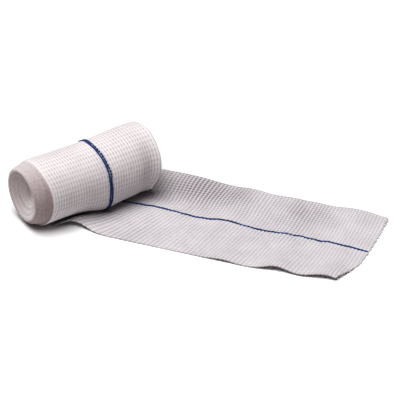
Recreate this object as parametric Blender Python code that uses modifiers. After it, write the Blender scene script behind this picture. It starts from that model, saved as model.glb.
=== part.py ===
"""A stretch gauze bandage, part unrolled: the wound roll, and its loose end laid out beside it.

The bandage is one woven strip. The turns have slid along each other, so that the roll's near end is a short
cone with a dished face and its far end is hollow. The strip leaves the roll at a slant: along most of the roll
it comes out from under the front, and its far part reaches past the far end, rises there and winds up behind it.

Units are metres and +Z is up. The loose end runs along +X, and the origin is on the floor under the middle of
the bounding box.
"""

import math

import bmesh
import bpy
from mathutils import Vector

COLLECTION = "gauze_bandage_roll"

# The strip
STRIP_WIDTH = 0.0755
SHEET_THICKNESS = 0.001
CLEARANCE = 0.0003

MIDDLE = Vector((-0.0014, 0, 0))  # of the bounding box, in the frame of the tables below

# The roll
ROLL_FOOT = Vector((-0.0892, -0.0295, 0))  # the spot on the floor below the axis at the near shoulder
AXIS_TURN = math.radians(53.5)  # the axis, from near end to far end, turned from +X
AXIS = Vector((math.cos(AXIS_TURN), math.sin(AXIS_TURN), 0))
FRONT = Vector((math.sin(AXIS_TURN), -math.cos(AXIS_TURN), 0))
UP = Vector((0, 0, 1))
ROLL_LENGTH = 0.0762
ROLL_RADIUS = 0.0199
FLAT_SINK = 0.0006  # how far the round is pressed in to make the flat spot that it rests on
AXIS_HEIGHT = ROLL_RADIUS - FLAT_SINK
ROLL_STEPS = 72
BODY_RINGS = 15
LOOSENESS = 8  # how fast the give of the turns falls off from the outside in

# The near end, from the middle of its face out to the shoulder. Along is measured from the shoulder towards
# the far end.
NEAR_END = (
    # along, radius
    (-0.0008, 0.0),
    (-0.0014, 0.0026),
    (-0.0034, 0.0062),
    (-0.0057, 0.0098),
    (-0.0076, 0.0124),
    (-0.0085, 0.0139),
    (-0.0086, 0.0151),
    (-0.0079, 0.0163),
    (-0.0063, 0.0172),
    (-0.0042, 0.0180),
    (-0.0018, 0.0187),
    (-0.0002, 0.0190),
    (-0.0004, 0.0195),
    (0.0014, 0.0199),
)
CORE_REACH = 0.0086  # how far the core stands out of the shoulder
CORE_DRIFT = (-0.0006, 0.0003)  # where the core's rim lies from the axis: out, up

# The far end, from its outer edge in to the middle of its hollow. Along is measured from the far end, and
# minus is towards the near end.
FAR_END = (
    # along, radius
    (-0.0034, 0.0199),
    (-0.0012, 0.0197),
    (-0.0002, 0.0191),
    (0.0, 0.0182),
    (-0.0009, 0.0171),
    (-0.0032, 0.0152),
    (-0.0054, 0.0116),
    (-0.0064, 0.0066),
    (-0.0067, 0.0),
)

# Where the outer turns stand out from the round (+) or are drawn in (-). Angle is measured round the axis from
# the front, upwards. Length and sweep are the half-widths of each swelling along and round the roll.
SWELLS = (
    # along, angle in degrees, length, sweep in degrees, height
    (0.0665, 100, 0.0110, 70, 0.0018),
    (0.0384, -42, 0.0060, 24, 0.0018),
    (0.0474, -42, 0.0130, 26, 0.0012),
    (0.0144, -50, 0.0100, 35, -0.0005),
    (0.0690, 2, 0.0035, 40, -0.0009),
    (0.0765, 5, 0.0035, 50, 0.0010),
)

# Where the outer turns have slid along the axis at each end, + towards the far end
NEAR_SLIDES = (
    # angle in degrees, sweep in degrees, along
    (12, 36, 0.0024),
    (-64, 26, -0.0022),
)
FAR_SLIDES = ((-40, 28, -0.0050),)
SLIDE_REACH = 0.012  # how far along the roll a slide is felt

# The loose end, as it lies on the floor
NEAR_Y = -0.0306
SHEET_COLUMNS = 60
SHEET_ROWS = 32
TUCK = 0.0092  # how far out from under the axis the strip begins
REST_FROM = 0.0066  # the roll's underside rises from here out,
REST_TO = 0.0083  # and from here on it lies on the strip

# Where each row of the strip begins. Share runs from the near selvedge to the far one, out is the distance to
# the front of the axis, and rise is the height above lying on the floor.
BEGINS = (
    # share of the width, along, out, rise
    (0.00, 0.0048, TUCK, 0.0),
    (0.25, 0.0283, TUCK, 0.0),
    (0.50, 0.0510, TUCK, 0.0),
    (0.65, 0.0640, TUCK, 0.0),
    (0.75, 0.0720, TUCK, 0.0),
    (0.80, 0.0760, TUCK, 0.0),
    (0.85, 0.0778, 0.0059, 0.0018),
    (0.90, 0.0792, 0.0030, 0.0040),
    (0.95, 0.0808, 0.0004, 0.0055),
    (1.00, 0.0823, -0.0023, 0.0064),
)
DRIFT_REACH = 0.052  # a row has its straight course this far from where it begins
DRIFT_COLUMNS = 24
SETTLED = 0.010  # the distance from where it begins over which the strip comes to its folds

# The cut end: its place along X, from the near side to the far side
CUT_END = (
    # share of the width, x
    (0.0, 0.0950),
    (0.05, 0.0962),
    (0.12, 0.0978),
    (0.22, 0.1002),
    (0.34, 0.1031),
    (0.50, 0.1041),
    (0.75, 0.1046),
    (1.0, 0.1042),
)

# Soft ridges of the loose end, each a smooth mound. Turn is the direction of its length from +X.
FOLDS = (
    # x, y, length, width, turn in degrees, height
    (-0.0660, -0.0250, 0.008, 0.010, 0, 0.0034),
    (-0.0160, 0.0420, 0.013, 0.010, 0, 0.0014),
    (0.0170, 0.0240, 0.024, 0.006, 80, 0.0016),
    (0.0280, -0.0300, 0.006, 0.010, 0, 0.0014),
    (0.0490, 0.0300, 0.018, 0.006, 100, 0.0012),
    (0.0600, -0.0300, 0.007, 0.011, 0, 0.0030),
    (0.0610, 0.0460, 0.005, 0.006, 0, 0.0008),
    (0.0860, 0.0450, 0.010, 0.012, 0, 0.0020),
    (0.0880, -0.0240, 0.008, 0.009, -50, 0.0026),
)
FOLD_FLOOR = 0.00004  # a mound lower than this lies flat

# Where the near selvedge is drawn in from its straight line
PULLS = (
    # x, length, inward
    (-0.0640, 0.008, 0.0038),
    (0.0620, 0.008, 0.0022),
    (0.0930, 0.012, 0.0050),
)
PULL_REACH = 0.020  # how far across the strip a pull is felt

GAUZE_WHITE = (0.82, 0.79, 0.80, 1.0)
GAUZE_SHADED = (0.76, 0.73, 0.75, 1.0)
GAUZE_ROUGHNESS = 0.95


def hill(offset, half_width):
    """1 at no offset, falling smoothly to 0."""
    return math.exp(-0.5 * (offset / half_width) ** 2)


def smooth(share):
    """0 below 0, 1 above 1, and a smooth rise between them."""
    share = min(1.0, max(0.0, share))
    return share * share * (3 - 2 * share)


def read_table(table, share):
    """The other columns of a table at this share, which its first column holds, read straight between rows."""
    for low, high in zip(table, table[1:]):
        if share <= high[0]:
            weight = (share - low[0]) / (high[0] - low[0])
            return [a + (b - a) * weight for a, b in zip(low[1:], high[1:])]
    return list(table[-1][1:])


def turned_by(angle, degrees):
    """The angle from a direction in degrees, between minus and plus half a turn."""
    return (angle - math.radians(degrees) + math.pi) % math.tau - math.pi


def swelling(along, angle):
    """How far the outer turns stand out from the round here."""
    total = 0.0
    for centre, degrees, length, sweep, height in SWELLS:
        total += height * hill(along - centre, length) * hill(turned_by(angle, degrees), math.radians(sweep))
    return total


def slide(along, angle):
    """How far the outer turns have slid along the axis here."""
    total = 0.0
    for slides, inwards in ((NEAR_SLIDES, along), (FAR_SLIDES, ROLL_LENGTH - along)):
        felt = hill(max(0.0, inwards), SLIDE_REACH)
        for degrees, sweep, far in slides:
            total += felt * far * hill(turned_by(angle, degrees), math.radians(sweep))
    return total


def rest_height(out):
    """The height of what the roll's underside lies on: the floor, and further out the strip."""
    return (SHEET_THICKNESS + 2 * CLEARANCE) * smooth((out - REST_FROM) / (REST_TO - REST_FROM))


def settled(radius, along, angle):
    """A point of the turned roll as it lies: (out, along, up) from the foot. Only the outer turns give way."""
    give = (radius / ROLL_RADIUS) ** LOOSENESS
    radius += give * swelling(along, angle)
    core = smooth(-along / CORE_REACH)
    out = radius * math.cos(angle) + core * CORE_DRIFT[0]
    up = max(rest_height(out), AXIS_HEIGHT + radius * math.sin(angle) + core * CORE_DRIFT[1])
    return out, along + give * slide(along, angle), up


def roll_profile():
    """(radius, along) from the middle of the near face, down the outside, to the middle of the far hollow."""
    near = [(radius, along) for along, radius in NEAR_END]
    far = [(radius, ROLL_LENGTH + along) for along, radius in FAR_END]
    start = near[-1][1]
    stop = far[0][1]
    step = (stop - start) / BODY_RINGS
    body = [(ROLL_RADIUS, start + step * ring) for ring in range(1, BODY_RINGS)]
    return near + body + far


def new_object(name, mesh, collection):
    made = bpy.data.objects.new(name, mesh)
    collection.objects.link(made)
    return made


def turned_mesh(name, profile, steps, collection):
    """The mesh of a profile turned round the Y axis."""
    mesh = bpy.data.meshes.new(name)
    edges = [(index, index + 1) for index in range(len(profile) - 1)]
    mesh.from_pydata([(radius, along, 0) for radius, along in profile], edges, [])
    pattern = new_object(name + "_pattern", mesh, collection)
    screw = pattern.modifiers.new("turn", "SCREW")
    screw.axis = "Y"
    screw.steps = steps
    screw.render_steps = steps
    screw.use_normal_flip = True
    screw.use_merge_vertices = True
    screw.merge_threshold = 0.00001
    graph = bpy.context.evaluated_depsgraph_get()
    turned = bpy.data.meshes.new_from_object(pattern.evaluated_get(graph))
    bpy.data.objects.remove(pattern)
    bpy.data.meshes.remove(mesh)
    turned.name = name
    return turned


def build_wound_roll(collection):
    """The wound turns as one solid, with its flat spot, swellings and slid end. Local X points to its front."""
    mesh = turned_mesh("wound_roll", roll_profile(), ROLL_STEPS, collection)
    for vertex in mesh.vertices:
        radius = math.hypot(vertex.co.x, vertex.co.z)
        angle = math.atan2(vertex.co.z, vertex.co.x)
        vertex.co = settled(radius, vertex.co.y, angle)
    mesh.shade_smooth()
    roll = new_object("wound_roll", mesh, collection)
    roll.location = ROLL_FOOT
    roll.rotation_euler.z = AXIS_TURN - math.pi / 2
    roll.data.materials.append(gauze_material("gauze_wound", GAUZE_WHITE))
    return roll


def first_point(share):
    """Where a row of the strip begins."""
    along, out, rise = read_table(BEGINS, share)
    return ROLL_FOOT + AXIS * along + FRONT * out + UP * (SHEET_THICKNESS / 2 + rise)


def drift(share):
    """How much is left, from 1 to 0, of a row's rise and drift over the share of its way to its straight course."""
    return (1 - share) ** 2 * (1 + 1.5 * share)


def relief(x, y):
    """The height of the loose end's folds here."""
    total = 0.0
    for fold_x, fold_y, length, width, degrees, height in FOLDS:
        turn = math.radians(degrees)
        along = (x - fold_x) * math.cos(turn) + (y - fold_y) * math.sin(turn)
        across = (y - fold_y) * math.cos(turn) - (x - fold_x) * math.sin(turn)
        total += height * hill(along, length) * hill(across, width)
    return max(0.0, total - FOLD_FLOOR)


def pull(x, y):
    """How far the near selvedge draws this spot inwards."""
    inward = sum(depth * hill(x - centre, length) for centre, length, depth in PULLS)
    return inward * (1 - smooth((y - NEAR_Y) / PULL_REACH))


def sheet_point(column, share):
    """The middle of the cloth. Column counts from the roll to the cut end, and share runs from near to far."""
    start = first_point(share)
    laid = Vector((start.x, NEAR_Y + STRIP_WIDTH * share, SHEET_THICKNESS / 2))
    (end,) = read_table(CUT_END, share)
    if column < DRIFT_COLUMNS:
        t = column / DRIFT_COLUMNS
        point = laid.lerp(start, drift(t)) + Vector((DRIFT_REACH * t, 0, 0))
    else:
        t = (column - DRIFT_COLUMNS) / (SHEET_COLUMNS - DRIFT_COLUMNS)
        first = start.x + DRIFT_REACH
        point = laid + Vector((first + (end - first) * t - laid.x, 0, 0))
    free = smooth((point - start).length / SETTLED)
    point.y += free * pull(point.x, point.y)
    point.z += free * relief(point.x, point.y)
    return point


def build_loose_end(collection):
    """The unrolled strip: a grid laid on its folds and given the cloth's thickness."""
    mesh = bpy.data.meshes.new("loose_end")
    grid = bmesh.new()
    bmesh.ops.create_grid(grid, x_segments=SHEET_COLUMNS, y_segments=SHEET_ROWS, size=0.5)
    for vertex in grid.verts:
        column = round((vertex.co.x + 0.5) * SHEET_COLUMNS)
        vertex.co = sheet_point(column, vertex.co.y + 0.5)
    grid.to_mesh(mesh)
    grid.free()
    mesh.shade_smooth()
    sheet = new_object("loose_end", mesh, collection)
    solidify = sheet.modifiers.new("thickness", "SOLIDIFY")
    solidify.thickness = SHEET_THICKNESS
    solidify.offset = 0
    sheet.data.materials.append(gauze_material("gauze_laid", GAUZE_SHADED))
    return sheet


def gauze_material(name, colour):
    """Matt bleached cotton gauze."""
    material = bpy.data.materials.new(name)
    material.use_nodes = True
    shader = material.node_tree.nodes["Principled BSDF"]
    shader.inputs["Base Color"].default_value = colour
    shader.inputs["Roughness"].default_value = GAUZE_ROUGHNESS
    shader.inputs["Metallic"].default_value = 0
    return material


def main():
    for old in list(bpy.data.objects):
        bpy.data.objects.remove(old)
    collection = bpy.data.collections.new(COLLECTION)
    bpy.context.scene.collection.children.link(collection)
    for piece in (build_wound_roll(collection), build_loose_end(collection)):
        piece.location -= MIDDLE


main()
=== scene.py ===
"""The looks of the gauze bandage roll: white stretch gauze, wound up, with its loose end laid out.

The gauze has warp ribs, which run along the strip and so round the roll, and weft ribs, which run across it.
The middle rib of the warp is blue. The roll's skin follows its solid, with a shallower dish in its near end.
The laid gauze has the outline and the folds of the loose end's solid. Units are metres and +Z is up.
"""

import math

import bmesh
import bpy
import numpy as np
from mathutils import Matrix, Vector


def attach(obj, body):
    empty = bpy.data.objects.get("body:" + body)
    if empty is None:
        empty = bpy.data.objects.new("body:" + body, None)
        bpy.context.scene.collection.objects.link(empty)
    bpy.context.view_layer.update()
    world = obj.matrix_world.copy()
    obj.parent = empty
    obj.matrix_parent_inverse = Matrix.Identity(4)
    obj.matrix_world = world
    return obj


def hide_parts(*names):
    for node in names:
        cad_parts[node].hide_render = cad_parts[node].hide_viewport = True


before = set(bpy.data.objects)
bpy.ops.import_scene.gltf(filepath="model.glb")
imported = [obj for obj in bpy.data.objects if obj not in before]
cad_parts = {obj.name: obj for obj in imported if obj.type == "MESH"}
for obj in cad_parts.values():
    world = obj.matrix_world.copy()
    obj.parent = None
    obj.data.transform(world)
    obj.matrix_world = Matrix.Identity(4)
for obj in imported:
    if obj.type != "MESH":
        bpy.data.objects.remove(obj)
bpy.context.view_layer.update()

# The camera
PHOTO_PIXELS = 400
SENSOR_MM = 36
LENS_MM = 250
CAMERA_AZIMUTH = math.radians(20.83)  # from -Y towards +X
CAMERA_ELEVATION = math.radians(33.5)
METRES_PER_PIXEL = 0.5935e-3
LOOKS_AT = Vector((-0.0051, 0.025, 0))

# The roll. Along is measured from its near shoulder towards its far end, and angles round its axis from the
# front, upwards.
ROLL_FOOT = np.array((-0.0878, -0.0295, 0))  # the spot on the floor below the axis at the near shoulder
AXIS_TURN = math.radians(53.5)  # the axis, from near end to far end, turned from +X
AXIS = np.array((math.cos(AXIS_TURN), math.sin(AXIS_TURN), 0))
FRONT = np.array((math.sin(AXIS_TURN), -math.cos(AXIS_TURN), 0))
UP = np.array((0, 0, 1))
ROLL_RADIUS = 0.0199
AXIS_HEIGHT = 0.0193
ROLL_LENGTH = 0.0762
LOOSENESS = 8  # how fast the give of the turns falls off from the outside in
CORE_REACH = 0.0086  # how far the core stands out of the shoulder
CORE_DRIFT = (-0.0006, 0.0003)  # where the core's rim lies from the axis: out, up

# Profiles of the roll's two ends: the near one from its pinched middle out, the far one from its edge in
NEAR_END = (
    # along, radius
    (0.0018, 0.0),
    (0.0010, 0.0003),
    (-0.0012, 0.0007),
    (-0.0030, 0.0013),
    (-0.0040, 0.0026),
    (-0.0046, 0.0045),
    (-0.0053, 0.0070),
    (-0.0063, 0.0098),
    (-0.0072, 0.0122),
    (-0.0079, 0.0140),
    (-0.0082, 0.0155),
    (-0.0076, 0.0166),
    (-0.0060, 0.0174),
    (-0.0040, 0.0181),
    (-0.0020, 0.0187),
    (-0.0004, 0.0193),
    (0.0008, 0.0197),
    (0.0022, 0.0199),
)
FAR_END = (
    # along from the far end, radius
    (-0.0034, 0.0199),
    (-0.0012, 0.0198),
    (-0.0003, 0.0193),
    (0.0, 0.0184),
    (-0.0009, 0.0171),
    (-0.0032, 0.0152),
    (-0.0054, 0.0116),
    (-0.0064, 0.0066),
    (-0.0067, 0.0),
)

# Where the outer turns stand out from the round (+) or are drawn in (-)
SWELLS = (
    # along, angle in degrees, length, sweep in degrees, height
    (0.0665, 100, 0.0110, 70, 0.0018),
    (0.0384, -42, 0.0060, 24, 0.0018),
    (0.0474, -42, 0.0130, 26, 0.0012),
    (0.0144, -50, 0.0100, 35, -0.0005),
    (0.0690, 2, 0.0035, 40, -0.0009),
    (0.0765, 5, 0.0035, 50, 0.0010),
)

# Where the outer turns have slid along the axis at each end, + towards the far end
NEAR_SLIDES = (
    # angle in degrees, sweep in degrees, along
    (12, 36, 0.0024),
    (-64, 26, -0.0022),
)
FAR_SLIDES = ((-40, 28, -0.0050),)
SLIDE_REACH = 0.012  # how far along the roll a slide is felt

# Where single turns of the near end stand in (+) or out (-): the selvedge of the outer turn and the groove
# behind it, and folds round the pinched middle
END_FOLDS = (
    # radius, width, angle in degrees, sweep in degrees, along
    (0.0186, 0.0006, -14, 48, 0.0019),
    (0.0197, 0.0003, -14, 48, -0.0008),
    (0.0033, 0.0009, 0, 50, -0.0011),
    (0.0071, 0.0012, 170, 50, -0.0006),
    (0.0112, 0.0010, -60, 60, -0.0005),
    (0.0160, 0.0008, 110, 60, -0.0004),
)
END_FOLD_REACH = 0.003  # how far along the roll such a fold is felt
PINCH = 0.0030  # the radius within which the near end's middle is pinched to a slit
PINCH_THIN = 0.40  # the slit's width for 1 of its round,
PINCH_TALL = 1.5  # and its height
CORE_LEANS = (0.0035, 0.0020)  # how far the near end's middle lies from the axis: out, up
CORE_WIDTH = 0.006  # the radius within which it does

# The strip
STRIP_WIDTH = 0.0755
CLOTH = 0.0006  # the thickness of the gauze between its ribs
NEAR_Y = -0.0306  # of the near selvedge
TUCK = 0.0092  # how far out from under the axis the strip begins
REST_FROM = 0.0066  # the roll's underside rises from here out,
REST_TO = 0.0083  # and from here on it lies on the strip
REST_HEIGHT = 0.0008

# Where each row of the strip begins. Share runs from the near selvedge to the far one, out is the distance to
# the front of the axis, and rise is the height above lying on the floor.
BEGINS = (
    # share of the width, along, out, rise
    (0.00, 0.0048, TUCK, 0.0),
    (0.25, 0.0283, TUCK, 0.0),
    (0.50, 0.0510, TUCK, 0.0),
    (0.65, 0.0640, TUCK, 0.0),
    (0.75, 0.0720, TUCK, 0.0),
    (0.80, 0.0760, TUCK, 0.0),
    (0.85, 0.0778, 0.0059, 0.0018),
    (0.90, 0.0792, 0.0030, 0.0040),
    (0.95, 0.0808, 0.0004, 0.0055),
    (1.00, 0.0823, -0.0023, 0.0064),
)
DRIFT_REACH = 0.052  # a row has its straight course this far from where it begins
SETTLED = 0.010  # the distance from where it begins over which the strip comes to its folds

# The cut end, from the near side to the far side
CUT_END = (
    # share of the width, x
    (0.0, 0.0964),
    (0.05, 0.0976),
    (0.12, 0.0992),
    (0.22, 0.1016),
    (0.34, 0.1045),
    (0.50, 0.1055),
    (0.75, 0.1060),
    (1.0, 0.1056),
)

# Soft ridges of the strip, each a smooth mound. Turn is the direction of its length from +X.
FOLDS = (
    # x, y, length, width, turn in degrees, height
    (-0.0646, -0.0250, 0.008, 0.010, 0, 0.0034),
    (-0.0146, 0.0420, 0.013, 0.010, 0, 0.0014),
    (0.0184, 0.0240, 0.024, 0.006, 80, 0.0016),
    (0.0294, -0.0300, 0.006, 0.010, 0, 0.0014),
    (0.0504, 0.0300, 0.018, 0.006, 100, 0.0012),
    (0.0614, -0.0300, 0.007, 0.011, 0, 0.0030),
    (0.0624, 0.0460, 0.005, 0.006, 0, 0.0008),
    (0.0874, 0.0450, 0.010, 0.012, 0, 0.0020),
    (0.0894, -0.0240, 0.008, 0.009, -50, 0.0026),
)

# Where the near selvedge is drawn in from its straight line
PULLS = (
    # x, length, inward
    (-0.0626, 0.008, 0.0038),
    (0.0634, 0.008, 0.0022),
    (0.0944, 0.012, 0.0050),
)
PULL_REACH = 0.020  # how far across the strip a pull is felt

# The weave
WARP_PITCH = 0.00183
WEFT_ROUND = 43  # weft ribs in one turn of the roll
WEFT_SPAN = 0.13  # the weft ribs are counted from minus this x to plus this x,
WEFT_STEP = 0.00025  # in steps of this length
WEFT_PITCH = (
    # x, pitch along the strip
    (-0.060, 0.0027),
    (0.000, 0.0023),
    (0.106, 0.0020),
)
WEFT_LEAN = (
    # x, the ribs' direction from +X in degrees
    (-0.055, 57),
    (-0.035, 62),
    (-0.010, 72),
    (0.020, 79),
    (0.060, 83),
    (0.106, 90),
)
FAR_BEND = 0.70  # how much of their lean the weft ribs lose beyond the stripe
FAR_BEND_OVER = 0.022  # the distance from the middle over which they lose it
STRIPE_Y = (
    # x, y of the blue rib
    (-0.066, 0.0062),
    (-0.049, 0.0077),
    (-0.036, 0.0083),
    (-0.025, 0.0089),
    (-0.015, 0.0076),
    (-0.004, 0.0064),
    (0.009, 0.0063),
    (0.020, 0.0080),
    (0.036, 0.0072),
    (0.049, 0.0071),
    (0.064, 0.0090),
    (0.076, 0.0083),
    (0.081, 0.0096),
    (0.091, 0.0088),
    (0.105, 0.0079),
)
STRIPE_ALONG = (
    # angle in degrees, along the roll
    (-90, 0.0395),
    (-14, 0.0401),
    (11, 0.0405),
    (28, 0.0410),
    (45, 0.0404),
    (65, 0.0398),
    (85, 0.0389),
    (118, 0.0395),
    (200, 0.0400),
    (270, 0.0395),
)

SEED = 11
WAVES = 7  # in each random field
RIB_REPEAT = 128  # the ribs after which their unevenness repeats


def hill(offset, half_width):
    """1 at no offset, falling smoothly to 0."""
    return np.exp(-0.5 * (offset / half_width) ** 2)


def smooth(share):
    """0 below 0, 1 above 1, and a smooth rise between them."""
    share = np.clip(share, 0, 1)
    return share * share * (3 - 2 * share)


def read(table, x, column=1):
    """A column of a table at x, which its first column holds."""
    rows = np.array(table, float)
    return np.interp(x, rows[:, 0], rows[:, column])


def turned_by(angle, degrees):
    """The angle from a direction in degrees, between minus and plus half a turn."""
    return (angle - np.radians(degrees) + np.pi) % (2 * np.pi) - np.pi


def facing(angle, degrees, sweep):
    """1 in a direction round the roll, falling smoothly to 0 over a sweep. Both are in degrees."""
    return hill(turned_by(angle, degrees), math.radians(sweep))


def wander(x, y, scale, seed):
    """A smooth random field of about -1 to 1, whose hills are about scale wide."""
    rng = np.random.default_rng(SEED + seed)
    total = np.zeros(np.broadcast(x, y).shape)
    for _ in range(WAVES):
        turn, phase = rng.uniform(0, 2 * np.pi, 2)
        size = scale * rng.uniform(1.4, 3.2)
        total = total + np.sin((x * math.cos(turn) + y * math.sin(turn)) * 2 * np.pi / size + phase)
    return total / math.sqrt(WAVES)


def rib(phase, power=0.7):
    """The height, 0 to 1, of a row of round ribs. Whole phases are the valleys between them."""
    return np.abs(np.sin(np.pi * phase)) ** power


def thread(phase, half_width):
    """The height, 0 to 1, of thin threads that lie on whole phases."""
    off = (phase + 0.5) % 1 - 0.5
    return np.sqrt(np.clip(1 - (off / half_width) ** 2, 0, 1))


def spaced(first, last, steps):
    """Phases from first to last, with the same steps in each whole one."""
    phases = (np.arange(math.floor(first), math.ceil(last))[:, None] + np.array(steps)[None, :]).ravel()
    return phases[(phases >= first) & (phases <= last)]


def uneven(warp, weft, seed, least=0.75):
    """A factor of each rib between two wefts, from least to 1."""
    rng = np.random.default_rng(SEED + seed)
    cells = rng.uniform(least, 1, (RIB_REPEAT, RIB_REPEAT))
    return cells[np.floor(warp).astype(int) % RIB_REPEAT, np.floor(weft).astype(int) % RIB_REPEAT]


# --- The shape of the roll ---


def swelling(along, angle):
    """How far the outer turns stand out from the round here."""
    total = 0
    for centre, degrees, length, sweep, height in SWELLS:
        total = total + height * hill(along - centre, length) * facing(angle, degrees, sweep)
    return total


def slide(along, angle):
    """How far the outer turns have slid along the axis here."""
    total = 0
    for slides, inwards in ((NEAR_SLIDES, along), (FAR_SLIDES, ROLL_LENGTH - along)):
        felt = hill(np.maximum(0, inwards), SLIDE_REACH)
        for degrees, sweep, far in slides:
            total = total + felt * far * facing(angle, degrees, sweep)
    return total


def end_folds(radius, along, angle):
    """How far single turns of the near end stand in here."""
    total = 0
    for centre, width, degrees, sweep, far in END_FOLDS:
        total = total + far * hill(radius - centre, width) * facing(angle, degrees, sweep)
    return total * hill(np.maximum(0, along), END_FOLD_REACH)


def rest_height(out):
    """The height of what the roll's underside lies on: the floor, and further out the strip."""
    return REST_HEIGHT * smooth((out - REST_FROM) / (REST_TO - REST_FROM))


def on_roll(radius, along, angle, proud=0.0):
    """Points of the roll as it lies. Proud is how far they stand out of its round."""
    give = (radius / ROLL_RADIUS) ** LOOSENESS
    core = smooth(-along / CORE_REACH)
    radius = radius + give * swelling(along, angle) + proud
    near = along < ROLL_LENGTH / 2
    pinched = hill(radius, PINCH) * near
    leans = hill(radius, CORE_WIDTH) * near
    out = radius * np.cos(angle) * (1 + (PINCH_THIN - 1) * pinched)
    out = out + core * CORE_DRIFT[0] + leans * CORE_LEANS[0]
    height = AXIS_HEIGHT + radius * np.sin(angle) * (1 + (PINCH_TALL - 1) * pinched)
    height = height + core * CORE_DRIFT[1] + leans * CORE_LEANS[1]
    height = np.maximum(rest_height(out), height)
    along = along + give * slide(along, angle) + end_folds(radius, along, angle)
    return ROLL_FOOT + out[..., None] * FRONT + along[..., None] * AXIS + height[..., None] * UP


# --- The shape of the strip ---


def first_points(share):
    """Where rows of the strip begin."""
    along, out, rise = (read(BEGINS, share, column) for column in (1, 2, 3))
    return ROLL_FOOT + along[..., None] * AXIS + out[..., None] * FRONT + (CLOTH / 2 + rise)[..., None] * UP


def drift(share):
    """What is left of a row's rise and drift, by its share of the way to its straight course."""
    share = np.clip(share, 0, 1)
    return (1 - share) ** 2 * (1 + 1.5 * share)


def relief(x, y):
    """The height of the strip's folds here."""
    total = 0
    for fold_x, fold_y, length, width, degrees, height in FOLDS:
        turn = math.radians(degrees)
        along = (x - fold_x) * math.cos(turn) + (y - fold_y) * math.sin(turn)
        across = (y - fold_y) * math.cos(turn) - (x - fold_x) * math.sin(turn)
        total = total + height * hill(along, length) * hill(across, width)
    return total


def pull(x, y):
    """How far the near selvedge draws this spot inwards."""
    inward = sum(depth * hill(x - centre, length) for centre, length, depth in PULLS)
    return inward * (1 - smooth((y - NEAR_Y) / PULL_REACH))


def on_strip(flat_x, share):
    """Points of the middle of the cloth, at these x and shares of the width."""
    start = first_points(share)
    laid = np.stack((start[..., 0], NEAR_Y + STRIP_WIDTH * share, np.full_like(share, CLOTH / 2)), -1)
    past = flat_x - start[..., 0]
    points = laid + (start - laid) * drift(past / DRIFT_REACH)[..., None]
    points[..., 0] += past
    free = smooth(np.linalg.norm(points - start, axis=-1) / SETTLED)
    x, y = points[..., 0], points[..., 1]
    y = y + free * pull(x, y)
    return np.stack((x, y, points[..., 2] + free * relief(x, y)), -1)


def weft_lines(phases, share):
    """The flat x of weft lines, given by their phase, at each share of the width."""
    centre = np.arange(-WEFT_SPAN, WEFT_SPAN, WEFT_STEP)
    passed = np.concatenate(([0], np.cumsum(np.diff(centre) / read(WEFT_PITCH, centre[1:]))))
    at = np.interp(phases, passed, centre)
    lean = 1 / np.tan(np.radians(read(WEFT_LEAN, at)))
    y = STRIP_WIDTH * (share - 0.5)
    return at + y * lean * (1 - FAR_BEND * smooth(y / FAR_BEND_OVER))


# --- Meshes ---


def new_piece(name, points, faces, uv_corners):
    """A piece of the object, with a UV place for each corner of its faces."""
    mesh = bpy.data.meshes.new(name)
    mesh.from_pydata(points.reshape(-1, 3).tolist(), [], faces.tolist())
    layer = mesh.uv_layers.new(name="weave")
    layer.data.foreach_set("uv", uv_corners.astype(np.float32).ravel())
    mesh.shade_smooth()
    piece = bpy.data.objects.new(name, mesh)
    bpy.context.scene.collection.objects.link(piece)
    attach(piece, "root")
    return piece


def grid_faces(rows, columns, closed=False):
    """Quads of a grid, and their corners' places in it. Closed joins the last column to the first."""
    across = columns if closed else columns - 1
    i, j = np.meshgrid(np.arange(rows - 1), np.arange(across), indexing="ij")
    i, j = i.ravel(), j.ravel()
    corners = np.stack((np.stack((i, i, i + 1, i + 1), -1), np.stack((j, j + 1, j + 1, j), -1)), -1)
    faces = corners[..., 0] * columns + corners[..., 1] % columns
    return faces, corners


# --- Pieces ---

WARP_STEPS = (0, 0.13, 0.36, 0.64, 0.87)  # the mesh's rows within each warp rib,
WEFT_STEPS = (0, 0.2, 0.4, 0.6, 0.8)  # and its columns within each weft rib
BODY_MARGIN = 0.1  # of a warp rib, between the body's rows and the ends' profiles
RIB_HEIGHT = 0.00034
RIB_SUNK = 0.6  # how much of that height lies within the roll's round
RIB_SWELL = 0.22  # how much the ribs' height differs from place to place
BRIDGE_HEIGHT = 0.00022  # of the weft threads that cross the valleys between warp ribs
BRIDGE_WIDTH = 0.24  # half their width, in weft ribs
RIBBED_FROM = 0.0190  # the weave shows as ribs outside this radius,
RIBBED_OVER = 0.0008  # and in full this much further out
HEM = 0.0009  # the width of the outer turn's plain selvedges
WARP_STRAY = 0.00018  # how far the warp ribs stray along the roll
WEFT_STRAY = 0.008  # how far, in radians, the weft ribs stray round it,
WEFT_STRAY_AT = 0.035  # most of all here along it,
WEFT_STRAY_REACH = 0.03  # and over this distance
WEFT_STRAY_TURNS = 3  # waves in one turn of the roll,
WEFT_STRAY_ALONG = 90  # and how fast they shift along it, in radians a metre

STRIPE_AT = 0.0400
STRIPE_HALF_WIDTH = 0.0013
STRIPE_SUNK = 0.00016  # how far the gauze lies lower beneath the stripe
STRIPE_EDGE = 1.6  # it lies level again this many half widths from the stripe's middle
STRIPE_REACH = 0.016  # how far to each side the ribs stray with the stripe

TURN_PITCH = 0.0006  # from one turn to the next, at the roll's ends
TURN_HEIGHT = 0.00008  # how far each turn's edge stands out of the end,
TURN_UNEVEN = 0.00015  # and how far one differs from the next
TURNS_FROM = 0.0015  # the turns show as edges outside this radius,
TURNS_OVER = 0.003  # and in full this much further out
END_ROUNDINGS = 3  # times that the ends' profiles are smoothed

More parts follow.
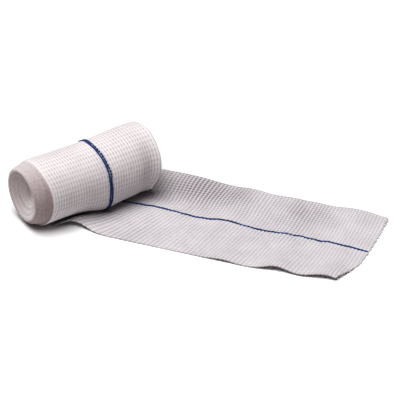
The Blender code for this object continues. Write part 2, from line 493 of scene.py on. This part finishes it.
# The painted shade of the roll's ends: how much of it their middles have, where painted light makes the
# cone's flank and the dish lighter, and how much single turns differ
END_SHADE = 0.85
FLANK_LIGHT = (125, 60, 0.62)  # angle, sweep in degrees, how much
DISH_LIGHT = (-50, 60, 0.70)
FLANK_FROM = 0.0140  # the radius where the dish ends and the flank begins
FLANK_OVER = 0.002
TURN_SHADES = 0.09
GROOVE_DEPTH = 0.0012  # an end fold this deep has the ends' full painted shade, the shade in its groove

# Bands of painted shade on the roll's body, and one of painted light at the far rim where how much is below 0
SHADE_AND_LIGHT_BANDS = (
    # along, angle in degrees, length, sweep in degrees, how much
    (0.0650, 18, 0.0045, 30, 0.24),
    (0.0740, -10, 0.0020, 40, -0.10),
    (0.0260, 8, 0.0160, 24, 0.14),
)


def resampled(profile, step):
    """A profile's points at even steps along its length, rounded at its corners."""
    rows = np.array(profile, float)
    lengths = np.concatenate(([0], np.cumsum(np.hypot(*np.diff(rows, axis=0).T))))
    at = np.linspace(0, lengths[-1], max(2, round(lengths[-1] / step)))
    fine = np.stack([np.interp(at, lengths, rows[:, k]) for k in (0, 1)], -1)
    for _ in range(END_ROUNDINGS):
        fine[1:-1] = (fine[:-2] + 2 * fine[1:-1] + fine[2:]) / 4
    return fine


def stripe_drift(along, angle):
    """How far the ribs near the stripe stray along the roll with it."""
    degrees = (np.degrees(angle) + 90) % 360 - 90
    return (read(STRIPE_ALONG, degrees) - STRIPE_AT) * hill(along - STRIPE_AT, STRIPE_REACH)


def turn_edges(rows, angle, seed):
    """How far single turns' edges stand out of an end of the roll, for rows half a turn's pitch apart."""
    rng = np.random.default_rng(SEED + seed)
    turns = np.arange(rows) // 2
    count = turns.max() + 1
    proud = rng.uniform(-0.5, 0.5, count)[turns][:, None]
    sway = rng.uniform(0, 2 * np.pi, count)[turns][:, None]
    twice = rng.uniform(0, 2 * np.pi, count)[turns][:, None]
    proud = proud + 0.5 * np.sin(angle + sway) + 0.35 * np.sin(3 * angle + twice)
    return TURN_UNEVEN * proud + TURN_HEIGHT * (np.arange(rows) % 2)[:, None]


def weft_stray(along, angle):
    """How far round the roll the weft ribs stray from straight lines along it."""
    waves = np.sin(WEFT_STRAY_TURNS * angle + WEFT_STRAY_ALONG * along)
    return WEFT_STRAY * waves * hill(along - WEFT_STRAY_AT, WEFT_STRAY_REACH)


def end_shade(radius, along, angle, ribbed):
    """How much painted shade each point has: on the ends, less where painted light falls and full in the
    groove, and in bands on the body. Each turn is darkest along an arc of its own.
    """
    # full painted shade in the groove behind the outer turn's selvedge
    groove = np.clip(end_folds(radius, along, angle) / GROOVE_DEPTH, 0, 1)
    flank = smooth((radius - FLANK_FROM) / FLANK_OVER)
    # painted light on the flank's upper side and the dish's lower side
    lit = [much * facing(angle, degrees, sweep) for degrees, sweep, much in (FLANK_LIGHT, DISH_LIGHT)]
    share = flank * (1 - lit[0]) + (1 - flank) * END_SHADE * (1 - lit[1])
    rng = np.random.default_rng(SEED + 50)
    turns = rng.uniform(-TURN_SHADES, TURN_SHADES, len(radius) // 2 + 1)
    turns = np.repeat(turns, 2)[: len(radius), None]
    arcs = turns * (1 + 0.8 * np.sin(angle + 40 * turns))
    # bands of painted shade on the body, and painted light where how much is below 0
    painted_bands = sum(
        much * hill(along - centre, length) * facing(angle, degrees, sweep)
        for centre, degrees, length, sweep, much in SHADE_AND_LIGHT_BANDS
    )
    return np.clip(np.maximum((1 - ribbed) * (share + arcs), groove) + ribbed * painted_bands, 0, 1)


def roll_profile():
    """The near end, the body and the far end, each as (along, radius)."""
    near = resampled(NEAR_END, TURN_PITCH / 2)
    far = resampled(FAR_END, TURN_PITCH / 2) + np.array((ROLL_LENGTH, 0))
    first, last = ((end - STRIPE_AT) / WARP_PITCH for end in (near[-1, 0], far[0, 0]))
    along = STRIPE_AT + WARP_PITCH * spaced(first + BODY_MARGIN, last - BODY_MARGIN, WARP_STEPS)
    return near, np.stack((along, np.full_like(along, ROLL_RADIUS)), -1), far


def roll_relief(along, angle, warp, weft, ribbed, hem):
    """How far the weave stands out of the roll's round."""
    round_x, round_y = np.cos(angle) * ROLL_RADIUS, np.sin(angle) * ROLL_RADIUS
    swell = 1 + RIB_SWELL * wander(along, round_x + 2 * round_y, scale=0.02, seed=3)
    ribs = RIB_HEIGHT * (1 - hem + hem * rib(warp)) * (uneven(warp, weft, seed=2) * swell)
    bridges = BRIDGE_HEIGHT * thread(weft, BRIDGE_WIDTH)
    sunk = STRIPE_SUNK * smooth(STRIPE_EDGE - np.abs(along - STRIPE_AT) / STRIPE_HALF_WIDTH)
    return ribbed * (np.maximum(ribs, bridges) - RIB_SUNK * RIB_HEIGHT - sunk)


def build_roll():
    near, body, far = roll_profile()
    profile = np.concatenate((near, body, far))
    weft = spaced(0, WEFT_ROUND, WEFT_STEPS)[None, :]
    angle = weft / WEFT_ROUND * 2 * np.pi - np.pi / 2
    along = profile[:, :1] + 0 * angle
    radius = profile[:, 1:] + 0 * angle
    warp = (along - STRIPE_AT) / WARP_PITCH
    weft = weft + 0 * along
    wound = angle + weft_stray(along, angle)

    ribbed = smooth((radius - RIBBED_FROM) / RIBBED_OVER)
    hem = smooth((along - HEM) / HEM) * smooth((ROLL_LENGTH - 2 * HEM - along) / HEM)
    proud = roll_relief(along, wound, warp, weft, ribbed, hem)
    round_x, round_y = np.cos(wound) * ROLL_RADIUS, np.sin(wound) * ROLL_RADIUS
    sway = WARP_STRAY * wander(round_x + round_y, along + round_x - round_y, scale=0.016, seed=1)
    points = on_roll(radius, along + ribbed * (stripe_drift(along, wound) + sway), wound, proud)

    edges = np.zeros_like(along)
    edges[: len(near)] = -turn_edges(len(near), wound[: len(near)], seed=4)
    edges[-len(far) :] = turn_edges(len(far), wound[-len(far) :], seed=5)
    edges = edges * (1 - ribbed) * smooth((radius - TURNS_FROM) / TURNS_OVER)
    points = points + edges[..., None] * AXIS

    faces, corners = grid_faces(len(profile), weft.shape[1], closed=True)
    warp_uv = np.concatenate((warp, warp[:, :1]), 1)
    weft_uv = np.concatenate((weft, weft[:, :1] + WEFT_ROUND), 1)
    uv = np.stack((weft_uv, warp_uv), -1)[corners[..., 0], corners[..., 1]]
    roll = new_piece("wound_gauze", points, faces, uv)
    add_shares(roll, "woven", (ribbed * hem).ravel())
    add_shares(roll, "shaded", end_shade(radius, along, wound, ribbed).ravel())
    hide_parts("wound_roll")
    return roll


STRIP_WARP_STEPS = (0, 0.3, 0.7)
STRIP_WEFT_STEPS = (0, 0.2, 0.5, 0.8)
WARP_MARGIN = 0.2  # of a warp rib, between the far selvedge and the row before it
MOST_WEFTS = 115  # more than the strip has
WEFT_SWAY = 0.00030  # how far the weft ribs stray along the strip
CUT_UNEVEN = 0.00025  # how far the cut end strays from its line
CLAMPED = 0.0004  # weft lines this far past a row's end still count, and are drawn back to it
STRIP_RIB = 0.00038  # the height of the weft ribs,
STRIP_WARP = 0.00016  # and of the warp ribs
RIB_LEAST = 0.6  # the lowest weft rib between two warp ribs, for 1 of the highest
STRIP_SWELL = 0.3  # how much the weft ribs' height differs from place to place
UNDERSIDE = 0.4  # how much of the crinkle shows on the underside
SELVEDGE = 0.00012  # how far the selvedges stand proud
SELVEDGE_WIDTH = 0.0009
SCALLOP = 0.00014  # how far the weft ribs push the selvedges out
SCALLOP_REACH = 0.0006  # how far in from the selvedge that is felt
OFF_FLOOR = 0.00002  # the least height of the underside
LEAST_CLOTH = 0.0001
NO_GAP = 1e-7  # faces narrower than this are left out
WELD = 0.000004  # points this close are welded

# Patches of painted shade on the strip, where its weave is drawn open
SHADED_OPENINGS = (
    # x, y, length, width, how much
    (-0.0090, 0.0330, 0.013, 0.011, 1.0),
    (0.0140, 0.0360, 0.009, 0.010, 0.5),
    (0.0600, 0.0360, 0.012, 0.009, 0.5),
    (0.0500, 0.0180, 0.012, 0.012, 0.25),
    (-0.0350, -0.0200, 0.016, 0.012, 0.3),
)


def strip_grid():
    """The weave's phases, the flat x and the share of the width of the strip's points: rows run along it."""
    ribs_across = STRIP_WIDTH / WARP_PITCH
    warp = spaced(0, ribs_across - WARP_MARGIN, STRIP_WARP_STEPS)
    warp = np.append(warp, ribs_across)[:, None]
    share = warp / ribs_across
    weft = spaced(0, MOST_WEFTS, STRIP_WEFT_STEPS)[None, :]
    lines = weft_lines(weft, share)
    lines = lines + WEFT_SWAY * wander(lines, share * STRIP_WIDTH, scale=0.012, seed=6)
    start = first_points(share[:, 0])[:, :1]
    end = read(CUT_END, share) + CUT_UNEVEN * wander(share * STRIP_WIDTH, 0, scale=0.0012, seed=7)
    live = (lines > start - CLAMPED) & (lines < end + CLAMPED)
    columns = np.nonzero(live.any(0))[0]
    first, last = columns[0], columns[-1] + 1
    flat_x = np.clip(lines, start, end)[:, first:last]
    return warp + 0 * flat_x, weft[:, first:last] + 0 * flat_x, flat_x, share + 0 * flat_x


def strip_sides(warp, weft, flat_x, shares):
    """Points of the strip's upper side and its underside, and of the middle of its cloth."""
    middle = on_strip(flat_x, shares)
    across = STRIP_WIDTH * shares
    edge = np.minimum(across, STRIP_WIDTH - across)
    side = np.where(shares < 0.5, -1.0, 1.0)
    middle[..., 1] += side * SCALLOP * (rib(weft, 1) - 0.5) * hill(edge, SCALLOP_REACH)
    normal = normals_of(flat_x, shares)
    swell = 1 + STRIP_SWELL * wander(flat_x, across, scale=0.02, seed=9)
    height = uneven(warp, weft, seed=8, least=RIB_LEAST) * swell
    crinkle = STRIP_RIB * (rib(weft) * height - 0.5)
    warps = STRIP_WARP * (rib(warp) - 0.5)
    proud = crinkle + warps + SELVEDGE * hill(edge, SELVEDGE_WIDTH)
    top = middle + normal * (CLOTH / 2 + proud)[..., None]
    bottom = middle - normal * (CLOTH / 2 - UNDERSIDE * crinkle)[..., None]
    bottom[..., 2] = np.maximum(bottom[..., 2], OFF_FLOOR)
    top[..., 2] = np.maximum(top[..., 2], bottom[..., 2] + LEAST_CLOTH)
    return top, bottom, middle


def faces_with_width(flat_x):
    """The faces of the strip's grid, without those that have come to nothing where its rows end."""
    faces, corners = grid_faces(*flat_x.shape)
    gaps = flat_x[:, 1:] - flat_x[:, :-1]
    column = corners[:, 0, 1]
    wide = (gaps[corners[:, 0, 0], column] > NO_GAP) | (gaps[corners[:, 2, 0], column] > NO_GAP)
    return faces[wide]


def build_strip():
    warp, weft, flat_x, shares = strip_grid()
    top, bottom, middle = strip_sides(warp, weft, flat_x, shares)
    faces = faces_with_width(flat_x)
    count = flat_x.size
    every = np.concatenate((faces, faces[:, ::-1] + count, border_faces(faces, count)))
    points = np.concatenate((top.reshape(-1, 3), bottom.reshape(-1, 3)))
    uv = np.stack((weft, warp), -1).reshape(-1, 2)
    uv = np.concatenate((uv, uv))[every]
    strip = new_piece("laid_gauze", points, every, uv)
    # painted shade where the weave is drawn open
    open_shade = sum(
        much * hill(middle[..., 0] - x, length) * hill(middle[..., 1] - y, width)
        for x, y, length, width, much in SHADED_OPENINGS
    )
    open_shade = np.clip(open_shade, 0, 1).ravel()
    add_shares(strip, "open_shade", np.concatenate((open_shade, open_shade)))
    weld_ends(strip)
    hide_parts("loose_end")
    return strip


def normals_of(flat_x, shares):
    """Directions out of the strip's upper side, from small steps along and across it."""
    step, share_step = 0.0004, 0.005
    along = on_strip(flat_x + step, shares) - on_strip(flat_x - step, shares)
    low, high = np.clip(shares - share_step, 0, 1), np.clip(shares + share_step, 0, 1)
    across = on_strip(flat_x, high) - on_strip(flat_x, low)
    normal = np.cross(along, across)
    size = np.linalg.norm(normal, axis=-1, keepdims=True)
    nothing = 1e-12
    return np.where(size > nothing, normal / np.maximum(size, nothing), UP)


def add_shares(piece, name, values):
    """A number for each point of a mesh, which its material reads."""
    layer = piece.data.attributes.new(name, "FLOAT", "POINT")
    layer.data.foreach_set("value", np.asarray(values, np.float32))


def border_faces(faces, count):
    """Quads that join the border of a sheet's top to that of its bottom, whose points come count later."""
    edges = np.concatenate([faces[:, (k, (k + 1) % 4)] for k in range(4)])
    keys = np.sort(edges, 1)
    keys = keys[:, 0] * count + keys[:, 1]
    _, first, times = np.unique(keys, return_index=True, return_counts=True)
    border = edges[first[times == 1]]
    return np.stack((border[:, 1], border[:, 0], border[:, 0] + count, border[:, 1] + count), -1)


def weld_ends(piece):
    """Welds points that fall on each other at the strip's two ends, and drops what is left loose."""
    work = bmesh.new()
    work.from_mesh(piece.data)
    bmesh.ops.remove_doubles(work, verts=work.verts, dist=WELD)
    loose = [v for v in work.verts if not v.link_faces]
    bmesh.ops.delete(work, geom=loose, context="VERTS")
    work.to_mesh(piece.data)
    work.free()
    piece.data.shade_smooth()


# The blue yarns, each of two plies
PLY_SIDES = 7
PLY_STEP = 0.00035
ROLL_PLY = (0.00040, 0.00018, 0.0031)  # radius, distance from the yarn's middle, length of a full twist
LAID_PLY = (0.00034, 0.00026, 0.0052)
TWIST_FLAT = 0.6  # the twist's height for 1 of its width
TIP = 0.05  # a tube's radius at its two ends, for 1 of its own
YARN_APART = 0.00066  # half the distance between the roll's two yarns
YARN_PROUD = 0.00010  # of the roll's round
YARN_PHASE = 1.7  # how far the second yarn's twist is turned from the first's
STRIPE_SHARE = 0.51  # of the width, where the laid yarn meets the cut end
YARN_SHORT = 0.0003  # how far it ends short of it
LAID_PROUD = 0.00016  # how far the laid yarn's middle lies above the cloth
ROLL_YARN_STRAY = 0.0001  # how far the yarns stray to their sides, on the roll
LAID_YARN_STRAY = 0.00016  # and on the strip,
LAID_YARN_LIFT = 0.00008  # where it also strays up and down

# The far yarn of the roll dips under the weave
DIP = 0.00085
DIPS_A_WEFT = 1.5
DIP_HALF_WIDTH = 0.26
DIP_FROM = -5  # it dips from this angle up, in degrees,
DIP_OVER = 25  # and in full this much further round

# The cut threads
THREAD_RADIUS = 0.00006
THREAD_SIDES = 5
THREAD_POINTS = 7
THREADS_A_RIB = 4
THREAD_ROOT = 0.0006  # the length that each has within the cloth
THREAD_LENGTHS = (0.0005, 0.0011)
LONG_THREADS = 0.06  # the share of the threads that are longer still
LONGER_BY = (0.0006, 0.0016)
THREAD_TURN = 0.45  # how far, in radians, a thread is turned from +X,
THREAD_BEND = 0.7  # and bends to one side on its way
THREAD_RISES = (-0.2, 0.35)
THREAD_HEIGHTS = (0, 0.0004)  # of its root above the middle of the cloth
THREAD_WIDTHS = (0.7, 1.3)  # for 1 of the usual one
THREAD_OFF_FLOOR = 1.3  # the least height of its middle, in usual radii
RIB_PART = 0.42  # how far from the middle of its rib a thread lies, in ribs
LAST_RIB = 0.25  # the part of a rib at the far selvedge


def across_path(path, normal):
    """Unit directions along a path, beside it, and over it towards normal."""
    tangent = np.gradient(path, axis=0)
    tangent = tangent / np.linalg.norm(tangent, axis=1, keepdims=True)
    side = np.cross(tangent, normal)
    side = side / np.linalg.norm(side, axis=1, keepdims=True)
    return tangent, side, np.cross(side, tangent)


def tube(path, normal, radius, sides):
    """A tube round a path, drawn in at both ends: its points, faces and their corners' places.

    Normal is any direction across the path.
    """
    _, side, over = across_path(path, normal)
    turn = np.linspace(0, 2 * np.pi, sides, endpoint=False)
    ring = np.cos(turn)[None, :, None] * side[:, None] + np.sin(turn)[None, :, None] * over[:, None]
    radius = np.full(len(path), radius)
    radius[[0, -1]] *= TIP
    points = path[:, None] + ring * radius[:, None, None]
    faces, corners = grid_faces(len(path), sides, closed=True)
    return points.reshape(-1, 3), faces[:, ::-1], corners[:, ::-1]


def twisted(path, normal, phase, ply_size):
    """Two plies, twisted round each other along a path."""
    radius, off, twist = ply_size
    passed = np.concatenate(([0], np.cumsum(np.linalg.norm(np.diff(path, axis=0), axis=1))))
    _, side, over = across_path(path, normal)
    plies = []
    for ply in (0, 1):
        turn = (2 * np.pi * passed / twist + np.pi * ply + phase)[:, None]
        centre = path + off * (np.cos(turn) * side + TWIST_FLAT * np.sin(turn) * over)
        plies.append(tube(centre, normal, radius, PLY_SIDES))
    return plies


def joined_tubes(name, tubes):
    points, faces, uv, base = [], [], [], 0
    for tube_points, tube_faces, corners in tubes:
        points.append(tube_points)
        faces.append(tube_faces + base)
        uv.append(corners.astype(float))
        base += len(tube_points)
    return new_piece(name, np.concatenate(points), np.concatenate(faces), np.concatenate(uv))


def stripe_on_roll():
    """The stripe's two yarns. The far one dips under the weave, and so looks like a ladder's rungs."""
    angle = np.arange(-np.pi / 2, 1.5 * np.pi, PLY_STEP / ROLL_RADIUS)
    weft = (angle + np.pi / 2) * WEFT_ROUND / (2 * np.pi)
    normal = np.cos(angle)[:, None] * FRONT + np.sin(angle)[:, None] * UP
    degrees = np.degrees(angle)
    plies = []
    for number, offset in enumerate((-YARN_APART, YARN_APART)):
        stray = ROLL_YARN_STRAY * wander(angle * ROLL_RADIUS, 0, scale=0.004, seed=20 + number)
        along = read(STRIPE_ALONG, degrees) + offset + stray
        dips = thread(DIPS_A_WEFT * weft, DIP_HALF_WIDTH)
        dip = DIP * number * dips * smooth((degrees - DIP_FROM) / DIP_OVER)
        path = on_roll(np.full_like(along, ROLL_RADIUS), along, angle, YARN_PROUD - dip)
        path[:, 2] = np.maximum(path[:, 2], ROLL_PLY[0] + ROLL_PLY[1])
        plies += twisted(path, normal, YARN_PHASE * number, ROLL_PLY)
    return plies


def stripe_on_strip():
    """The stripe's yarn on the laid gauze."""
    first_x = STRIPE_Y[0][0]
    x = np.arange(first_x, read(CUT_END, STRIPE_SHARE) - YARN_SHORT, PLY_STEP)
    y = read(STRIPE_Y, x) + LAID_YARN_STRAY * wander(x, 0, scale=0.005, seed=30)
    path = on_strip(x, (y - NEAR_Y) / STRIP_WIDTH)
    path[:, 2] += CLOTH / 2 + LAID_PROUD + LAID_YARN_LIFT * wander(x, 0, scale=0.0024, seed=31)
    return twisted(path, np.broadcast_to(UP, path.shape), 0, LAID_PLY)


def build_stripe():
    stripe = joined_tubes("blue_yarns", stripe_on_roll() + stripe_on_strip())
    return stripe


def cut_thread(rng, share):
    """A thread that bends away from the cut end."""
    end = read(CUT_END, share)
    length = rng.uniform(*THREAD_LENGTHS) + (rng.random() < LONG_THREADS) * rng.uniform(*LONGER_BY)
    turn = rng.normal(0, THREAD_TURN)
    bend = rng.normal(0, THREAD_BEND)
    rise = rng.uniform(*THREAD_RISES)
    root = on_strip(np.array([end - THREAD_ROOT]), np.array([share]))[0] + UP * rng.uniform(*THREAD_HEIGHTS)
    steps = np.linspace(0, 1, THREAD_POINTS)[:, None]
    heading = turn + bend * steps
    way = np.concatenate((np.cos(heading), np.sin(heading), rise * (1 - steps)), 1)
    path = root + np.cumsum(way * (length + THREAD_ROOT) / (THREAD_POINTS - 1), 0)
    path[:, 2] = np.maximum(path[:, 2], THREAD_RADIUS * THREAD_OFF_FLOOR)
    radius = THREAD_RADIUS * rng.uniform(*THREAD_WIDTHS)
    return tube(path, np.broadcast_to(UP, path.shape), radius, THREAD_SIDES)


def build_fray():
    """Fine threads at the cut end, mostly the ends of the warp ribs."""
    rng = np.random.default_rng(SEED + 40)
    threads = []
    ribs = int(STRIP_WIDTH / WARP_PITCH)
    for number in range(ribs * THREADS_A_RIB):
        rib_middle = number // THREADS_A_RIB + 0.5
        share = (rib_middle + rng.uniform(-RIB_PART, RIB_PART)) / (ribs + LAST_RIB)
        threads.append(cut_thread(rng, share))
    fray = joined_tubes("cut_threads", threads)
    return fray


# --- Materials ---

ROLL_WHITE = (0.83, 0.795, 0.80, 1)
# painted shade in the holes and valleys of the roll's weave
ROLL_GAP_SHADE = (0.42, 0.36, 0.38, 1)
# the painted shade of the roll's ends
ROLL_END_SHADE = (0.43, 0.355, 0.36, 1)
STRIP_WHITE = (0.705, 0.684, 0.700, 1)
# painted shade in the holes and valleys of the strip's weave
STRIP_GAP_SHADE = (0.27, 0.235, 0.25, 1)
OPENING_SHADE = 0.16  # how much painted shade the strip has where its weave is drawn open
WEFT_VALLEY = 1.2  # how sharp the valleys between weft ribs are,
WARP_VALLEY = 2.2  # and those between warp ribs
FIBRE_SCALE = 2600
FIBRE_HEIGHT = 0.00010
COTTON_ROUGHNESS = 0.95
COTTON_SPECULAR = 0.2
SHEEN = 0.15
SHEEN_ROUGHNESS = 0.6
BLUE = (0.024, 0.046, 0.125, 1)
BLUE_LIGHT = (0.12, 0.19, 0.40, 1)


def new_material(name):
    material = bpy.data.materials.new(name)
    material.use_nodes = True
    shader = material.node_tree.nodes["Principled BSDF"]
    shader.inputs["Roughness"].default_value = COTTON_ROUGHNESS
    shader.inputs["Specular IOR Level"].default_value = COTTON_SPECULAR
    return material, material.node_tree, shader


def math_node(tree, operation, a, b=None, c=None):
    node = tree.nodes.new("ShaderNodeMath")
    node.operation = operation
    for socket, value in zip(node.inputs, (a, b, c)):
        if value is None:
            continue
        if isinstance(value, (int, float)):
            socket.default_value = value
        else:
            tree.links.new(value, socket)
    return node.outputs[0]


def stretched(tree, value, gain, base):
    """A value times gain, plus base. All three may be sockets or numbers."""
    return math_node(tree, "MULTIPLY_ADD", value, gain, base)


def valleys(tree, phase, sharpness, shift=0.0):
    """1 on whole phases, or shifted from them, and 0 halfway between."""
    turned = stretched(tree, phase, 2 * math.pi, 2 * math.pi * shift)
    wave = stretched(tree, math_node(tree, "COSINE", turned), 0.5, 0.5)
    return math_node(tree, "POWER", wave, sharpness)


def read_attribute(tree, name):
    node = tree.nodes.new("ShaderNodeAttribute")
    node.attribute_name = name
    return node.outputs["Fac"]


def noise(tree, scale, detail=2.0):
    node = tree.nodes.new("ShaderNodeTexNoise")
    node.inputs["Scale"].default_value = scale
    node.inputs["Detail"].default_value = detail
    place = tree.nodes.new("ShaderNodeTexCoord")
    tree.links.new(place.outputs["Object"], node.inputs["Vector"])
    return node.outputs["Fac"]


def mixed(tree, share, a, b):
    node = tree.nodes.new("ShaderNodeMix")
    node.data_type = "RGBA"
    tree.links.new(share, node.inputs["Factor"])
    for name, colour in (("A", a), ("B", b)):
        if isinstance(colour, tuple):
            node.inputs[name].default_value = colour
        else:
            tree.links.new(colour, node.inputs[name])
    return node.outputs["Result"]


def fibrous(tree, shader, height):
    """Gives a surface the bumps of fine fibres."""
    bump = tree.nodes.new("ShaderNodeBump")
    bump.inputs["Strength"].default_value = 0.5
    bump.inputs["Distance"].default_value = FIBRE_HEIGHT
    tree.links.new(height, bump.inputs["Height"])
    tree.links.new(bump.outputs[0], shader.inputs["Normal"])


def weave(tree, share, hole_shift, base, gain, valley_shade):
    """The holes of the weave, 1 in their middles, and the painted shade of the gauze in its holes and
    valleys.

    Holes get painted shade by base, and by gain more where share is 1. They lie in the valleys between warp
    ribs, and hole_shift is how far they lie from those between weft ribs. Valley_shade is how much of the
    holes' painted shade
    the whole valleys have: those between warps, and those between wefts.
    """
    place = tree.nodes.new("ShaderNodeUVMap")
    place.uv_map = "weave"
    parts = tree.nodes.new("ShaderNodeSeparateXYZ")
    tree.links.new(place.outputs[0], parts.inputs[0])
    between_wefts = valleys(tree, parts.outputs[0], WEFT_VALLEY, hole_shift)
    between_warps = valleys(tree, parts.outputs[1], WARP_VALLEY)
    hole = math_node(tree, "MULTIPLY", between_wefts, between_warps)
    hole = math_node(tree, "MULTIPLY", hole, stretched(tree, noise(tree, 420), 1.6, 0.2))
    # painted shade in the holes, and by valley_shade along the valleys
    strength = stretched(tree, share, gain, base)
    dark = math_node(tree, "MULTIPLY", hole, strength)
    for lines, much in zip((between_warps, between_wefts), valley_shade):
        dark = stretched(tree, math_node(tree, "MULTIPLY", lines, strength), much, dark)
    return hole, dark


def clouded(tree, dark):
    """The gauze's painted shade, with large soft clouds of random tone added."""
    return math_node(tree, "ADD", dark, stretched(tree, noise(tree, 90, 3), 0.30, -0.12))


def finish_gauze(tree, shader, colour, hole):
    tree.links.new(colour, shader.inputs["Base Color"])
    holes_down = math_node(tree, "MULTIPLY", hole, -0.8)
    fibrous(tree, shader, stretched(tree, noise(tree, FIBRE_SCALE, 3), 0.6, holes_down))
    shader.inputs["Sheen Weight"].default_value = SHEEN
    shader.inputs["Sheen Roughness"].default_value = SHEEN_ROUGHNESS


def wound_gauze():
    """The roll's gauze, with painted shade in its weave. Its ends show the edges of its turns and carry
    painted shade.
    """
    material, tree, shader = new_material("gauze_wound")
    woven = read_attribute(tree, "woven")
    hole, dark = weave(tree, woven, hole_shift=0.5, base=0.0, gain=0.30, valley_shade=(0.70, 0.20))
    colour = mixed(tree, clouded(tree, dark), ROLL_WHITE, ROLL_GAP_SHADE)
    mottled = stretched(tree, noise(tree, 800, 4), 0.7, 0.65)
    # painted shade on the roll's ends, mottled
    ends = math_node(tree, "MULTIPLY", read_attribute(tree, "shaded"), mottled)
    finish_gauze(tree, shader, mixed(tree, ends, colour, ROLL_END_SHADE), hole)
    return material


def laid_gauze():
    """The strip's gauze, with painted shade in its weave, darker where its weave is drawn open."""
    material, tree, shader = new_material("gauze_laid")
    open_shade = read_attribute(tree, "open_shade")
    hole, dark = weave(tree, open_shade, hole_shift=0.0, base=0.24, gain=0.50, valley_shade=(0.25, 0.55))
    # painted shade where the weave is drawn open, with clouds of random tone
    dark = clouded(tree, stretched(tree, open_shade, OPENING_SHADE, dark))
    finish_gauze(tree, shader, mixed(tree, dark, STRIP_WHITE, STRIP_GAP_SHADE), hole)
    return material


def blue_yarn():
    material, tree, shader = new_material("blue_yarn")
    tree.links.new(mixed(tree, noise(tree, 700), BLUE, BLUE_LIGHT), shader.inputs["Base Color"])
    fibrous(tree, shader, noise(tree, FIBRE_SCALE, 3))
    return material


def white_thread():
    material, tree, shader = new_material("white_thread")
    tree.links.new(mixed(tree, noise(tree, 700), ROLL_WHITE, STRIP_WHITE), shader.inputs["Base Color"])
    return material


# --- The stage ---

KEY_FROM = Vector((-0.12, -0.16, 0.90))
KEY_STRENGTH = 3.7
KEY_SPREAD = math.radians(48)
SKY_STRENGTH = 0.12
SKY_COLOUR = (1.0, 0.95, 0.98, 1)
PRINT_GAMMA = 0.65
FLOOR_COLOUR = (0.88, 0.88, 0.88, 1)
FLOOR_SIZE = 6


def set_stage():
    bpy.ops.mesh.primitive_plane_add(size=FLOOR_SIZE)
    floor = bpy.context.object
    floor.name = "floor"
    material, _, shader = new_material("floor")
    shader.inputs["Base Color"].default_value = FLOOR_COLOUR
    floor.data.materials.append(material)
    key = bpy.data.objects.new("key", bpy.data.lights.new("key", "SUN"))
    bpy.context.scene.collection.objects.link(key)
    key.data.energy = KEY_STRENGTH
    key.data.angle = KEY_SPREAD
    key.rotation_euler = KEY_FROM.to_track_quat("Z", "Y").to_euler()
    world = bpy.data.worlds.new("studio")
    world.use_nodes = True
    world.node_tree.nodes["Background"].inputs["Color"].default_value = SKY_COLOUR
    world.node_tree.nodes["Background"].inputs["Strength"].default_value = SKY_STRENGTH
    bpy.context.scene.world = world
    bpy.context.scene.view_settings.view_transform = "Standard"
    bpy.context.scene.view_settings.gamma = PRINT_GAMMA


def set_camera():
    back = Vector((
        math.sin(CAMERA_AZIMUTH) * math.cos(CAMERA_ELEVATION),
        -math.cos(CAMERA_AZIMUTH) * math.cos(CAMERA_ELEVATION),
        math.sin(CAMERA_ELEVATION),
    ))
    camera = bpy.data.objects.new("camera", bpy.data.cameras.new("camera"))
    bpy.context.scene.collection.objects.link(camera)
    camera.data.lens = LENS_MM
    camera.data.sensor_width = SENSOR_MM
    distance = METRES_PER_PIXEL * LENS_MM * PHOTO_PIXELS / SENSOR_MM
    camera.location = LOOKS_AT + back * distance
    camera.rotation_euler = back.to_track_quat("Z", "Y").to_euler()
    camera.data.clip_end = 10
    bpy.context.scene.camera = camera


set_camera()
set_stage()
roll = build_roll()
strip = build_strip()
stripe = build_stripe()
fray = build_fray()
roll.data.materials.append(wound_gauze())
strip.data.materials.append(laid_gauze())
stripe.data.materials.append(blue_yarn())
fray.data.materials.append(white_thread())
